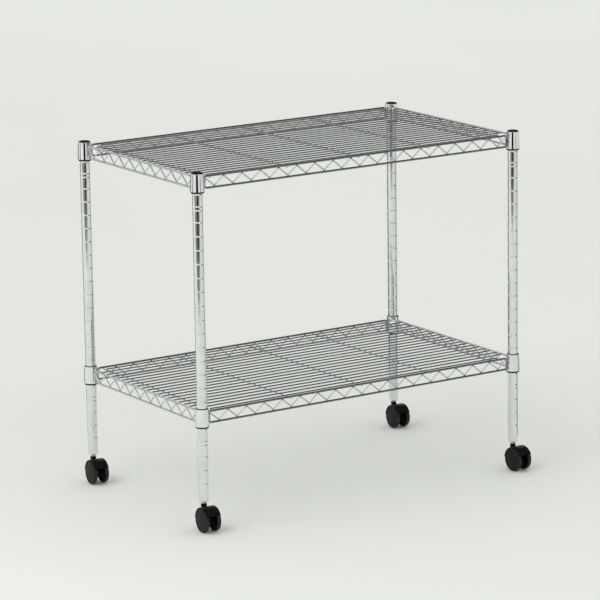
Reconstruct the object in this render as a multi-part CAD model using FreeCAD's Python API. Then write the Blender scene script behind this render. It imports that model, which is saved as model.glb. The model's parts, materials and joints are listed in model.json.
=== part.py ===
import FreeCAD, Part
import math
import os

from FreeCAD import Vector

# Two-tier chrome wire cart on four twin-wheel swivel casters. All lengths are in millimetres.
# +X runs along the long side, -Y is the front, +Z is up and the floor is at z = 0.

# ---- plan of the cart -------------------------------------------------------------------
POST_SPACING_X = 700.0          # between post axes, along the long side
POST_SPACING_Y = 400.0          # between post axes, along the short side

# ---- posts ------------------------------------------------------------------------------
POST_RADIUS = 9.525             # three-quarter inch tube
POST_WALL = 1.2
POST_BOTTOM = 54.0
POST_TOP = 658.6
POST_FOOT_TAPER = 12.0          # the swaged foot of the tube
POST_FOOT_RADIUS = 9.1
GROOVE_PITCH = 25.4             # one inch between grooves
FIRST_GROOVE = 8.55             # lowest groove above the foot of the post
GROOVE_DEPTH = 0.45
GROOVE_HALF_WIDTH = 1.1
MARKER_GROOVES = (4, 21)        # grooves cut as a pair, as a height mark
MARKER_HALF_GAP = 3.5
GROOVE_COUNT = 24
CAP_RADIUS = 9.3
CAP_THICKNESS = 1.9
CAP_ROUND = 1.14                # round of the cap's rim
CAP_PLUG_LENGTH = 12.0

# ---- shelf heights ----------------------------------------------------------------------
SHELVES = {"lower": 6, "upper": 23}     # the groove that each shelf's sleeves grip

# ---- split sleeves and corner collars ---------------------------------------------------
SLEEVE_HEIGHT = 36.4
SLEEVE_RIDGE = 23.7             # ridge above the sleeve's bottom
SLEEVE_BOTTOM_RADIUS = 12.15
SLEEVE_TOP_RADIUS = 10.95
SLEEVE_SPLIT = 0.6              # gap between the two halves
SLEEVE_BORE_GAP = 0.03
RIDGE_HALF_WIDTH = 0.9
RIDGE_REACH = 0.3               # how far the ridge enters its groove
COLLAR_LOW = 2.6                # collar's lower and upper edges above the sleeve's bottom
COLLAR_HIGH = 35.6
COLLAR_BOTTOM_RADIUS = 13.5
COLLAR_TOP_RADIUS = 12.1
CONE_GAP = 0.02                 # between the collar's bore and the sleeve

# ---- shelf wires ------------------------------------------------------------------------
RAIL_RADIUS = 2.0
TOP_RAIL = 28.4                 # rail axes above the sleeve's bottom
BOTTOM_RAIL = 7.0
LOOP_BEND = 5.0                 # bend radius where a rail turns beside the collar
LOOP_INSET = 14.9               # upright end of a truss loop, from the post axis
TRUSS_RADIUS = 1.4
TRUSS_BEND = 3.0
TRUSS_END = 1.2                 # last crest of the zigzag, short of the upright end
LONG_TRUSS_BENDS = 17
SHORT_TRUSS_BENDS = 10
WIRE_RADIUS = 1.5
DECK_WIRES = 21
DECK_MARGIN = 15.0              # outermost deck wires from the front and back rails
CROSS_INNER = 157.0
CROSS_OUTER = 322.0
CROSS_OVERHANG = 1.0
DECK_OVERHANG = 2.5             # outermost deck wires past the outermost cross wires

# ---- casters ----------------------------------------------------------------------------
WHEEL_RADIUS = 22.0
AXLE_TRAIL = 16.0
WHEEL_INNER_FACE = 7.6          # from the caster's middle plane
WHEEL_OUTER_FACE = 15.4
WHEEL_DOME = 0.7                # the face's middle, proud of its ring
FACE_SINK = 0.5
FACE_RING_SHARE = 0.80
OUTER_TREAD_ROUND = 1.6
INNER_TREAD_ROUND = 2.6
RIM_THICKNESS = 3.2
HUB_RADIUS = 5.0
WHEEL_DISC = 2.2
AXLE_RADIUS = 2.5
AXLE_REACH = 12.4               # half the axle's length
AXLE_CLEARANCE = 0.06
AXLE_END_GAP = 0.4              # between the axle's end and the wheel's blind bore
HOOD_RADIUS = 25.0
HOOD_WALL = 2.2
HOOD_HALF_WIDTH = 14.9
HOOD_FRONT_ANGLE = 28.0         # lower edges of the hood, from the axle's level
HOOD_REAR_ANGLE = 4.0
WEB_HALF_WIDTH = 3.0
BOSS_RADIUS = 5.4
WHEEL_SIDE_GAP = 0.3            # between the hood's boss and a wheel's inner face
SOCKET_RADIUS = 5.6
SOCKET_BOTTOM = 18.0
SOCKET_TOP = 49.0
STEM_RADIUS = 3.5
STEM_CLEARANCE = 0.06
STEM_FOOT = 21.0
STEM_END_GAP = 0.5              # under the stem's foot
STEM_CHAMFER = 0.6
STEM_FLANGE_RADIUS = 4.5
STEM_FLANGE_BOTTOM = 49.3
STEM_TOP = 80.0
THREAD_RADIUS = 4.0
SHANK_CHAMFER = 0.8
INSERT_LENGTH = 28.0
REST_SWIVEL = {                 # degrees about +Z, as the cart was last parked
    "front_left": -3.5,
    "front_right": 3.0,
    "back_left": -5.0,
    "back_right": -3.0,
}

# The casters trail to the front, so the posts stand a little behind the middle of the plan.
PLAN_SHIFT_Y = (AXLE_TRAIL + WHEEL_RADIUS - COLLAR_BOTTOM_RADIUS) / 2.0

UP = Vector(0, 0, 1)
ALONG_X = Vector(1, 0, 0)
ALONG_Y = Vector(0, 1, 0)


def posts_in_plan():
    """Corner name and post axis, for the four corners."""
    for side, x in (("left", -POST_SPACING_X / 2), ("right", POST_SPACING_X / 2)):
        for end, y in (("front", -POST_SPACING_Y / 2), ("back", POST_SPACING_Y / 2)):
            yield end + "_" + side, Vector(x, y + PLAN_SHIFT_Y, 0)


def save(name, *solids):
    """One node: its solids, kept separate, in one STEP file."""
    for solid in solids:
        if not solid.isValid() or solid.Volume <= 0:
            raise ValueError(name + " has a bad solid")
    shape = solids[0] if len(solids) == 1 else Part.makeCompound(list(solids))
    shape.exportStep("parts/" + name + ".step")
    print(name, len(solids), round(shape.Volume, 1))


def line(a, b):
    return Part.LineSegment(a, b).toShape()


def arc(a, middle, b):
    return Part.Arc(a, middle, b).toShape()


def solid_of(shape):
    """The single largest solid of a boolean result."""
    return max(shape.Solids, key=lambda s: s.Volume)


def turned(profile_edges, axis_point, axis):
    """A closed profile turned once about an axis."""
    face = Part.Face(Part.Wire(profile_edges))
    return solid_of(face.revolve(axis_point, axis, 360))


def polygon_edges(points):
    return [line(a, b) for a, b in zip(points, points[1:] + points[:1])]


def rod(a, b, radius):
    return Part.makeCylinder(radius, a.distanceToPoint(b), a, b - a)


def bent_path(points, bend):
    """A wire through the points, with each inner corner rounded by a tangent arc."""
    edges = []
    start = points[0]
    for before, corner, after in zip(points, points[1:], points[2:]):
        towards = (before - corner).normalize()
        away = (after - corner).normalize()
        half = towards.getAngle(away) / 2
        reach = bend / math.tan(half)
        inward = (towards + away).normalize()
        centre = corner + inward * (bend / math.sin(half))
        first = corner + towards * reach
        last = corner + away * reach
        edges.append(line(start, first))
        edges.append(arc(first, centre - inward * bend, last))
        start = last
    edges.append(line(start, points[-1]))
    return Part.Wire(edges)


def wire_along(path, start, direction, radius):
    section = Part.Wire([Part.makeCircle(radius, start, direction)])
    return solid_of(path.makePipeShell([section], True, False))


# ---- posts ------------------------------------------------------------------------------

def groove_heights():
    """Centre height of every groove of a post, with the marker pairs opened out.

    Heights count from groove 0, which isn't cut: it would lie in the tapered foot.
    """
    for n in range(1, GROOVE_COUNT):
        z = POST_BOTTOM + FIRST_GROOVE + GROOVE_PITCH * n
        if n in MARKER_GROOVES:
            yield z - MARKER_HALF_GAP
            yield z + MARKER_HALF_GAP
        else:
            yield z


def post_tube():
    """Grooved tube on the Z axis, with a swaged foot."""
    bore = POST_RADIUS - POST_WALL
    edges = [line(Vector(bore, 0, POST_BOTTOM), Vector(POST_FOOT_RADIUS, 0, POST_BOTTOM))]
    edges.append(line(Vector(POST_FOOT_RADIUS, 0, POST_BOTTOM),
                      Vector(POST_RADIUS, 0, POST_BOTTOM + POST_FOOT_TAPER)))
    z = POST_BOTTOM + POST_FOOT_TAPER
    for centre in groove_heights():
        low = Vector(POST_RADIUS, 0, centre - GROOVE_HALF_WIDTH)
        deep = Vector(POST_RADIUS - GROOVE_DEPTH, 0, centre)
        high = Vector(POST_RADIUS, 0, centre + GROOVE_HALF_WIDTH)
        edges.append(line(Vector(POST_RADIUS, 0, z), low))
        edges.append(arc(low, deep, high))
        z = high.z
    edges.append(line(Vector(POST_RADIUS, 0, z), Vector(POST_RADIUS, 0, POST_TOP)))
    edges.append(line(Vector(POST_RADIUS, 0, POST_TOP), Vector(bore, 0, POST_TOP)))
    edges.append(line(Vector(bore, 0, POST_TOP), Vector(bore, 0, POST_BOTTOM)))
    return turned(edges, Vector(), UP)


def post_cap():
    """Plastic plug with a low flange whose rim is rounded and whose middle is flat."""
    plug = POST_RADIUS - POST_WALL
    foot = POST_TOP - CAP_PLUG_LENGTH
    top = POST_TOP + CAP_THICKNESS
    flat = CAP_RADIUS - CAP_ROUND
    mid = CAP_ROUND * (1 - math.sqrt(0.5))
    edges = [
        line(Vector(0, 0, foot), Vector(plug, 0, foot)),
        line(Vector(plug, 0, foot), Vector(plug, 0, POST_TOP)),
        line(Vector(plug, 0, POST_TOP), Vector(CAP_RADIUS, 0, POST_TOP)),
        line(Vector(CAP_RADIUS, 0, POST_TOP), Vector(CAP_RADIUS, 0, top - CAP_ROUND)),
        arc(Vector(CAP_RADIUS, 0, top - CAP_ROUND), Vector(CAP_RADIUS - mid, 0, top - mid),
            Vector(flat, 0, top)),
        line(Vector(flat, 0, top), Vector(0, 0, top)),
        line(Vector(0, 0, top), Vector(0, 0, foot)),
    ]
    return turned(edges, Vector(), UP)


def stem_insert():
    """Threaded insert pressed into the foot of a post."""
    outer = POST_RADIUS - POST_WALL
    body = Part.makeCylinder(outer, INSERT_LENGTH, Vector(0, 0, POST_BOTTOM))
    hole = Part.makeCylinder(THREAD_RADIUS, INSERT_LENGTH + 2, Vector(0, 0, POST_BOTTOM - 1))
    return solid_of(body.cut(hole))


# ---- sleeves and collars, on the Z axis with the sleeve's bottom at z = 0 ---------------

def sleeve_radius(z):
    return SLEEVE_BOTTOM_RADIUS + (SLEEVE_TOP_RADIUS - SLEEVE_BOTTOM_RADIUS) * z / SLEEVE_HEIGHT


def sleeve_halves():
    """Tapered sleeve in two halves, with a ridge inside that sits in a post groove."""
    bore = POST_RADIUS + SLEEVE_BORE_GAP
    low = Vector(bore, 0, SLEEVE_RIDGE - RIDGE_HALF_WIDTH)
    tip = Vector(POST_RADIUS - RIDGE_REACH, 0, SLEEVE_RIDGE)
    high = Vector(bore, 0, SLEEVE_RIDGE + RIDGE_HALF_WIDTH)
    outer_low = Vector(SLEEVE_BOTTOM_RADIUS, 0, 0)
    outer_high = Vector(SLEEVE_TOP_RADIUS, 0, SLEEVE_HEIGHT)
    edges = [
        line(Vector(bore, 0, 0), outer_low),
        line(outer_low, outer_high),
        line(outer_high, Vector(bore, 0, SLEEVE_HEIGHT)),
        line(Vector(bore, 0, SLEEVE_HEIGHT), high),
        arc(high, tip, low),
        line(low, Vector(bore, 0, 0)),
    ]
    ring = turned(edges, Vector(), UP)
    reach = SLEEVE_BOTTOM_RADIUS + 2
    halves = []
    for side in (-1, 1):
        y = SLEEVE_SPLIT / 2 if side > 0 else -SLEEVE_SPLIT / 2 - reach
        box = Part.makeBox(2 * reach, reach, SLEEVE_HEIGHT + 2, Vector(-reach, y, -1))
        halves.append(solid_of(ring.common(box)))
    return halves


def collar():
    """Tapered corner collar whose bore is wedged on the sleeve."""
    points = [
        Vector(sleeve_radius(COLLAR_LOW) + CONE_GAP, 0, COLLAR_LOW),
        Vector(COLLAR_BOTTOM_RADIUS, 0, COLLAR_LOW),
        Vector(COLLAR_TOP_RADIUS, 0, COLLAR_HIGH),
        Vector(sleeve_radius(COLLAR_HIGH) + CONE_GAP, 0, COLLAR_HIGH),
    ]
    return turned(polygon_edges(points), Vector(), UP)


def collar_envelope():
    """The collar's outer cone, filled, for trimming the wires that butt on it."""
    height = COLLAR_HIGH - COLLAR_LOW
    return Part.makeCone(COLLAR_BOTTOM_RADIUS, COLLAR_TOP_RADIUS, height, Vector(0, 0, COLLAR_LOW))


# ---- shelf wires, with the sleeve's bottom at z = 0 -------------------------------------

def truss_loop(half_length):
    """Top and bottom rail bent into one long closed loop, in the XZ plane about x = 0."""
    low = BOTTOM_RAIL
    high = TOP_RAIL
    corners = [
        Vector(0, 0, low),
        Vector(half_length, 0, low),
        Vector(half_length, 0, high),
        Vector(0, 0, high),
    ]
    half = wire_along(bent_path(corners, LOOP_BEND), corners[0], ALONG_X, RAIL_RADIUS)
    other = half.mirror(Vector(), ALONG_X)
    return solid_of(half.fuse(other).removeSplitter())


def truss_zigzag(half_length, bends):
    """Wire folded between the rails. Its crests touch the top rail and the end loops."""
    low = BOTTOM_RAIL + RAIL_RADIUS + TRUSS_RADIUS
    high = TOP_RAIL - RAIL_RADIUS - TRUSS_RADIUS
    end = half_length - TRUSS_END
    step = end / bends
    # A rounded bend stays short of its corner by this much, so the corners stand out further.
    slope = math.atan2(high - low, step)
    cut = TRUSS_BEND * (1 / math.cos(slope) - 1)
    points = []
    for n in range(2 * bends + 1):
        crest = n % 2 == 0
        z = high + cut if crest else low - cut
        points.append(Vector(-end + step * n, 0, z))
    points[0].z = high
    points[-1].z = high
    direction = points[1] - points[0]
    return wire_along(bent_path(points, TRUSS_BEND), points[0], direction, TRUSS_RADIUS)


def truss(half_spacing, bends):
    """Loop and zigzag of one side of a shelf, as two solids in the XZ plane."""
    half_length = half_spacing - LOOP_INSET
    loop = truss_loop(half_length)
    zigzag = solid_of(truss_zigzag(half_length, bends).cut(loop))
    for side in (-1, 1):
        cone = collar_envelope()
        cone.translate(Vector(side * half_spacing, 0, 0))
        loop = solid_of(loop.cut(cone))
    return [loop, zigzag]


def placed(solids, turn, offset):
    """Copies of the solids, turned about Z in degrees and then moved."""
    out = []
    for solid in solids:
        copy = solid.copy()
        copy.rotate(Vector(), UP, turn)
        copy.translate(offset)
        out.append(copy)
    return out


def cross_wires():
    """Wires along Y, under the deck, welded to the underside of the front and back rails."""
    z = TOP_RAIL - RAIL_RADIUS - WIRE_RADIUS
    reach = POST_SPACING_Y / 2 + CROSS_OVERHANG
    xs = (-CROSS_OUTER, -CROSS_INNER, 0.0, CROSS_INNER, CROSS_OUTER)
    return [rod(Vector(x, -reach, z), Vector(x, reach, z), WIRE_RADIUS) for x in xs]


def deck_wires(side_loops):
    """Wires along X on the cross wires. All but the outermost two butt on the side rails."""
    z = TOP_RAIL - RAIL_RADIUS + WIRE_RADIUS
    first = POST_SPACING_Y / 2 - DECK_MARGIN
    pitch = 2 * first / (DECK_WIRES - 1)
    solids = []
    for n in range(DECK_WIRES):
        y = first - pitch * n
        outermost = n in (0, DECK_WIRES - 1)
        reach = CROSS_OUTER + DECK_OVERHANG if outermost else POST_SPACING_X / 2
        wire = rod(Vector(-reach, y, z), Vector(reach, y, z), WIRE_RADIUS)
        if not outermost:
            for loop in side_loops:
                wire = solid_of(wire.cut(loop))
        solids.append(wire)
    return solids


# ---- casters, with the stem on the Z axis and the axle towards -Y -----------------------

AXLE_CENTRE = Vector(0, -AXLE_TRAIL, WHEEL_RADIUS)


def around_axle(radius, degrees):
    """A point on a circle about the axle, in the caster's middle plane. 0 is forward."""
    a = math.radians(degrees)
    return AXLE_CENTRE + Vector(0, -radius * math.cos(a), radius * math.sin(a))


def hood_sector(inner, outer, half_width):
    """The part of a ring about the axle that the hood covers, as a solid."""
    front = HOOD_FRONT_ANGLE
    rear = 180 - HOOD_REAR_ANGLE
    top = (front + rear) / 2
    if inner > 0:
        edges = [
            arc(around_axle(outer, front), around_axle(outer, top), around_axle(outer, rear)),
            line(around_axle(outer, rear), around_axle(inner, rear)),
            arc(around_axle(inner, rear), around_axle(inner, top), around_axle(inner, front)),
            line(around_axle(inner, front), around_axle(outer, front)),
        ]
    else:
        edges = [
            arc(around_axle(outer, front), around_axle(outer, top), around_axle(outer, rear)),
            line(around_axle(outer, rear), AXLE_CENTRE),
            line(AXLE_CENTRE, around_axle(outer, front)),
        ]
    face = Part.Face(Part.Wire(edges))
    face.translate(Vector(-half_width, 0, 0))
    return face.extrude(Vector(2 * half_width, 0, 0))


def caster_hood():
    """Hood over the wheels, with a middle web, an axle boss and a socket for the stem."""
    canopy = hood_sector(HOOD_RADIUS - HOOD_WALL, HOOD_RADIUS, HOOD_HALF_WIDTH)
    web = hood_sector(0, HOOD_RADIUS - HOOD_WALL / 2, WEB_HALF_WIDTH)
    half_boss = ALONG_X * (WHEEL_INNER_FACE - WHEEL_SIDE_GAP)
    boss = rod(AXLE_CENTRE - half_boss, AXLE_CENTRE + half_boss, BOSS_RADIUS)
    socket = rod(UP * SOCKET_BOTTOM, UP * SOCKET_TOP, SOCKET_RADIUS)
    hood = canopy.fuse([web, boss, socket])
    stem_hole = rod(UP * (STEM_FOOT - STEM_END_GAP), UP * (SOCKET_TOP + 1), STEM_RADIUS + STEM_CLEARANCE)
    past_hood = ALONG_X * (HOOD_HALF_WIDTH + 1)
    axle_hole = rod(AXLE_CENTRE - past_hood, AXLE_CENTRE + past_hood, AXLE_RADIUS)
    return solid_of(hood.cut([stem_hole, axle_hole]).removeSplitter())


def caster_axle():
    return rod(AXLE_CENTRE - ALONG_X * AXLE_REACH, AXLE_CENTRE + ALONG_X * AXLE_REACH, AXLE_RADIUS)


def caster_wheel(side):
    """Wheel on the +X or -X side: smooth domed face outside, ribless pocket inside."""
    bore = AXLE_RADIUS + AXLE_CLEARANCE
    inner = WHEEL_INNER_FACE
    outer = WHEEL_OUTER_FACE
    t = OUTER_TREAD_ROUND
    k = t * (1 - math.sqrt(0.5))
    s = INNER_TREAD_ROUND
    j = s * (1 - math.sqrt(0.5))
    rim = WHEEL_RADIUS - RIM_THICKNESS
    floor = outer - WHEEL_DISC
    blind = AXLE_REACH + AXLE_END_GAP

    def at(x, r):
        return Vector(side * x, AXLE_CENTRE.y, AXLE_CENTRE.z + r)

    # The face is a shallow spherical dome, sunk a little inside a flat ring.
    edge_r = WHEEL_RADIUS * FACE_RING_SHARE
    rise = WHEEL_DOME + FACE_SINK
    sphere = (edge_r ** 2 + rise ** 2) / (2 * rise)
    tip = outer + WHEEL_DOME
    half_way = tip - sphere + math.sqrt(sphere ** 2 - edge_r ** 2 / 4)
    edges = [
        line(at(inner, bore), at(inner, HUB_RADIUS)),
        line(at(inner, HUB_RADIUS), at(floor, HUB_RADIUS)),
        line(at(floor, HUB_RADIUS), at(floor, rim)),
        line(at(floor, rim), at(inner, rim)),
        line(at(inner, rim), at(inner, WHEEL_RADIUS - s)),
        arc(at(inner, WHEEL_RADIUS - s), at(inner + j, WHEEL_RADIUS - j), at(inner + s, WHEEL_RADIUS)),
        line(at(inner + s, WHEEL_RADIUS), at(outer - t, WHEEL_RADIUS)),
        arc(at(outer - t, WHEEL_RADIUS), at(outer - k, WHEEL_RADIUS - k), at(outer, WHEEL_RADIUS - t)),
        line(at(outer, WHEEL_RADIUS - t), at(outer, edge_r + FACE_SINK)),
        line(at(outer, edge_r + FACE_SINK), at(outer - FACE_SINK, edge_r)),
        arc(at(outer - FACE_SINK, edge_r), at(half_way, edge_r / 2), at(tip, 0)),
        line(at(tip, 0), at(blind, 0)),
        line(at(blind, 0), at(blind, bore)),
        line(at(blind, bore), at(inner, bore)),
    ]
    return turned(edges, AXLE_CENTRE, ALONG_X)


def caster_stem():
    """Steel stem: pivot pin below, flange under the post, threaded shank in the insert."""
    points = [
        Vector(0, 0, STEM_FOOT),
        Vector(STEM_RADIUS - STEM_CHAMFER, 0, STEM_FOOT),
        Vector(STEM_RADIUS, 0, STEM_FOOT + STEM_CHAMFER),
        Vector(STEM_RADIUS, 0, STEM_FLANGE_BOTTOM),
        Vector(STEM_FLANGE_RADIUS, 0, STEM_FLANGE_BOTTOM),
        Vector(STEM_FLANGE_RADIUS, 0, POST_BOTTOM),
        Vector(THREAD_RADIUS, 0, POST_BOTTOM),
        Vector(THREAD_RADIUS, 0, STEM_TOP - SHANK_CHAMFER),
        Vector(THREAD_RADIUS - SHANK_CHAMFER, 0, STEM_TOP),
        Vector(0, 0, STEM_TOP),
    ]
    return turned(polygon_edges(points), Vector(), UP)


# ---- build ------------------------------------------------------------------------------

def build_posts():
    caps = []
    inserts = []
    for corner, foot in posts_in_plan():
        save("post_" + corner, *placed([post_tube()], 0, foot))
        caps += placed([post_cap()], 0, foot)
        inserts += placed([stem_insert()], 0, foot)
    save("post_caps", *caps)
    save("stem_inserts", *inserts)


def build_shelf(level, groove):
    base = POST_BOTTOM + FIRST_GROOVE + GROOVE_PITCH * groove - SLEEVE_RIDGE
    middle = Vector(0, PLAN_SHIFT_Y, base)
    for corner, foot in posts_in_plan():
        seat = Vector(foot.x, foot.y, base)
        save(level + "_sleeve_" + corner, *placed(sleeve_halves(), 0, seat))
        save(level + "_collar_" + corner, *placed([collar()], 0, seat))
    half_x = POST_SPACING_X / 2
    half_y = POST_SPACING_Y / 2
    long_truss = truss(half_x, LONG_TRUSS_BENDS)
    short_truss = truss(half_y, SHORT_TRUSS_BENDS)
    save(level + "_truss_front", *placed(long_truss, 0, middle - ALONG_Y * half_y))
    save(level + "_truss_back", *placed(long_truss, 0, middle + ALONG_Y * half_y))
    save(level + "_truss_left", *placed(short_truss, 90, middle - ALONG_X * half_x))
    save(level + "_truss_right", *placed(short_truss, 90, middle + ALONG_X * half_x))
    side_loops = []
    for x in (-half_x, half_x):
        side_loops += placed(short_truss[:1], 90, Vector(x, 0, 0))
    save(level + "_cross_wires", *placed(cross_wires(), 0, middle))
    save(level + "_deck_wires", *placed(deck_wires(side_loops), 0, middle))


def build_casters():
    for corner, foot in posts_in_plan():
        turn = REST_SWIVEL[corner]
        save("caster_stem_" + corner, *placed([caster_stem()], turn, foot))
        save("caster_hood_" + corner, *placed([caster_hood()], turn, foot))
        save("caster_axle_" + corner, *placed([caster_axle()], turn, foot))
        save("caster_wheel_a_" + corner, *placed([caster_wheel(-1)], turn, foot))
        save("caster_wheel_b_" + corner, *placed([caster_wheel(1)], turn, foot))


os.makedirs("parts", exist_ok=True)
build_posts()
for shelf_level, shelf_groove in SHELVES.items():
    build_shelf(shelf_level, shelf_groove)
build_casters()
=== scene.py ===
import json
import math

import bmesh
import bpy
from mathutils import Matrix, Vector


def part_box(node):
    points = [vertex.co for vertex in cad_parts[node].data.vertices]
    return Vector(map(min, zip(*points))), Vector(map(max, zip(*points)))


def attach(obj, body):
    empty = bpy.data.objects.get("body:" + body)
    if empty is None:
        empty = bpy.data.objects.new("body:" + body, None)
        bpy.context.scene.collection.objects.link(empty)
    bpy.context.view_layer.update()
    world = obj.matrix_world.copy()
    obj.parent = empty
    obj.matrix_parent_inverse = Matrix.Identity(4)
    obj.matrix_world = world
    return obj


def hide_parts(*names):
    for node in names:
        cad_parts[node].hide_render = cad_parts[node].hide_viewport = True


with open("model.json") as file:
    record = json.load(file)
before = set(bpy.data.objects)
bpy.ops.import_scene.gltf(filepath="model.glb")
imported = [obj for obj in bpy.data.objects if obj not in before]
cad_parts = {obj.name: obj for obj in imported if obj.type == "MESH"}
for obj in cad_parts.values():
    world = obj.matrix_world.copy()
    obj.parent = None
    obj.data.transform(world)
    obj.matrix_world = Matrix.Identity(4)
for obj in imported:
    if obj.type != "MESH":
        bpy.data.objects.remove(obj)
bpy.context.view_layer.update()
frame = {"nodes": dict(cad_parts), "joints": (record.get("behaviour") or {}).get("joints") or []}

# Looks of a two-tier chrome wire cart on four twin-wheel casters. Lengths are in millimetres
# until a mesh is made, which turns them into metres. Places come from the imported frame.
MM = 0.001
CORNERS = ("front_left", "back_left", "front_right", "back_right")
LEVELS = ("lower", "upper")

# ---- posts ------------------------------------------------------------------------------
POST_RADIUS = 9.525
POST_WALL = 1.2
POST_FOOT_TAPER = 12.0
POST_FOOT_RADIUS = 9.1
GROOVE_PITCH = 25.4
FIRST_GROOVE = 8.55
GROOVE_DEPTH = 0.45
GROOVE_HALF_WIDTH = 1.25
GROOVE_COUNT = 24
MARKER_GROOVES = (4, 21)
MARKER_HALF_GAP = 3.5
CAP_RADIUS = 9.3
CAP_PLUG = 12.0
CAP_THICKNESS = 1.9

# ---- sleeves and collars, above the sleeve's bottom -------------------------------------
SLEEVE_HEIGHT = 36.4
SLEEVE_BOTTOM_RADIUS = 12.15
SLEEVE_TOP_RADIUS = 10.95
SLEEVE_SPLIT = 0.6
SLEEVE_BORE = 9.56
COLLAR_LOW = 2.6
COLLAR_HIGH = 35.6
COLLAR_BOTTOM_RADIUS = 13.5
COLLAR_TOP_RADIUS = 12.1
COLLAR_LIP = 0.6                # height of the darker lower lip
COLLAR_LIP_PAINTED_SHADE = 0.9        # painted shade on the lower lip, a match of tone, as are the rails' two values
# Painted shade on the rails: how much darker each side's rails are painted, the long sides more than the
# short.
LONG_RAIL_PAINTED_SHADE = 0.74
SHORT_RAIL_PAINTED_SHADE = 0.3
CONE_GAP = 0.03

# ---- shelf wires, above the sleeve's bottom ---------------------------------------------
RAIL_RADIUS = 2.0
TOP_RAIL = 28.4
BOTTOM_RAIL = 7.0
LOOP_BEND = 5.0
LOOP_INSET = 14.9
TRUSS_RADIUS = 1.4
TRUSS_BEND = 3.0
TRUSS_END = 1.2
LONG_TRUSS_BENDS = 17
SHORT_TRUSS_BENDS = 10
WIRE_RADIUS = 1.5
DECK_WIRES = 21
DECK_MARGIN = 15.0
CROSS_WIRES = (-322.0, -157.0, 0.0, 157.0, 322.0)
CROSS_OVERHANG = 1.0
DECK_OVERHANG = 2.5

# ---- casters, about the swivel axis, with the axle in front of it -----------------------
WHEEL_RADIUS = 22.0
AXLE_TRAIL = 16.0
WHEEL_INNER_FACE = 7.6
WHEEL_OUTER_FACE = 15.4
WHEEL_DOME = 0.68
OUTER_TREAD_ROUND = 1.6
INNER_TREAD_ROUND = 2.6
AXLE_RADIUS = 2.5
AXLE_REACH = 12.4
HOOD_RADIUS = 25.0
HOOD_WALL = 2.2
HOOD_HALF_WIDTH = 14.9
HOOD_FRONT = 28.0
HOOD_REAR = 176.0
BOSS_RADIUS = 5.4
SOCKET_RADIUS = 5.6
SOCKET_BOTTOM = 18.0
SOCKET_TOP = 49.0
STEM_RADIUS = 3.5
STEM_FOOT = 21.0
STEM_FLANGE_RADIUS = 4.5
STEM_FLANGE_BOTTOM = 49.3
STEM_TOP = 80.0
THREAD_RADIUS = 4.0

# ---- camera and studio ------------------------------------------------------------------
CAMERA_AZIMUTH = -33.27
CAMERA_ELEVATION = 12.81
CAMERA_ROLL = -0.81
CAMERA_DISTANCE = 6.585
CAMERA_AIM = Vector((-3.75, 0.0, 343.9))      # from the middle between the posts
CAMERA_LENS = 208.2
SENSOR = 36.0
CARD_HEIGHT = Vector((0, 0, 0.002))   # reflection cards lie this far above the paper
FLOOR_CARD_TURN = -14.0               # degrees from the camera's azimuth
FLOOR_CARD_NEAR = 2.05
FLOOR_CARD_FAR = 40.0
STRIP_NEAR = 0.6
STRIP_FAR = 5.0
DIFFUSE_LIGHT = (0.98, 1.0, 0.985, 1)
SEEN_BACKGROUND = (0.835, 0.845, 0.80, 1)

SUPPORT = 0.3                   # how close a shading support stands to a corner

# Painted shade: the paper's tone, darker in a pool round the object, at distances in metres from a point a
# little behind the middle.
PAINTED_SHADE_POOL_TONES = (
    (0.0, 0.67), (0.55, 0.675), (0.95, 0.715), (2.5, 0.735), (4.5, 0.78), (7.5, 0.835), (14.0, 0.83))


# ---- places read from the frame ---------------------------------------------------------

def box_mm(node):
    low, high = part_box(node)
    return low / MM, high / MM


def post_axis(corner):
    low, high = box_mm("post_" + corner)
    return Vector(((low.x + high.x) / 2, (low.y + high.y) / 2, 0))


POST_BOTTOM = box_mm("post_front_left")[0].z
POST_TOP = box_mm("post_front_left")[1].z
LEFT_X = post_axis("front_left").x
RIGHT_X = post_axis("front_right").x
FRONT_Y = post_axis("front_left").y
BACK_Y = post_axis("back_left").y
MIDDLE = Vector(((LEFT_X + RIGHT_X) / 2, (FRONT_Y + BACK_Y) / 2, 0))
HALF_X = (RIGHT_X - LEFT_X) / 2
HALF_Y = (BACK_Y - FRONT_Y) / 2


CAMERA_TARGET = (MIDDLE + CAMERA_AIM) * MM


def shelf_base(level):
    """Height of the bottom of a shelf's sleeves."""
    return box_mm(level + "_sleeve_front_left")[0].z


def caster_turn(corner):
    """Angle of a caster about its post at rest, from the roll joint's axis."""
    for joint in frame["joints"]:
        if joint["name"] == "roll_a_" + corner:
            x, y, z = joint["axis"]
            return math.atan2(y, x)
    raise ValueError("no roll joint at " + corner)


# ---- mesh making ------------------------------------------------------------------------

class Form:
    """Closed shells in millimetres, gathered for one piece, with a value per point for wear, weld burn and
    painted shade.
    """

    def __init__(self):
        self.points = []
        self.faces = []
        self.wear_and_shade = []

    def add(self, points, faces, wear_and_shade=0.0):
        start = len(self.points)
        self.points.extend(points)
        self.faces.extend([[start + i for i in face] for face in faces])
        self.wear_and_shade.extend(wear_and_shade if isinstance(wear_and_shade, list) else [wear_and_shade] * len(points))

    def moved(self, offset, turn=0.0):
        """A copy, turned about Z and then moved."""
        matrix = Matrix.Translation(offset) @ Matrix.Rotation(turn, 4, "Z")
        copy = Form()
        copy.points = [matrix @ p for p in self.points]
        copy.faces = self.faces
        copy.wear_and_shade = self.wear_and_shade
        return copy

    def join(self, other):
        self.add(other.points, other.faces, list(other.wear_and_shade))


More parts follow.
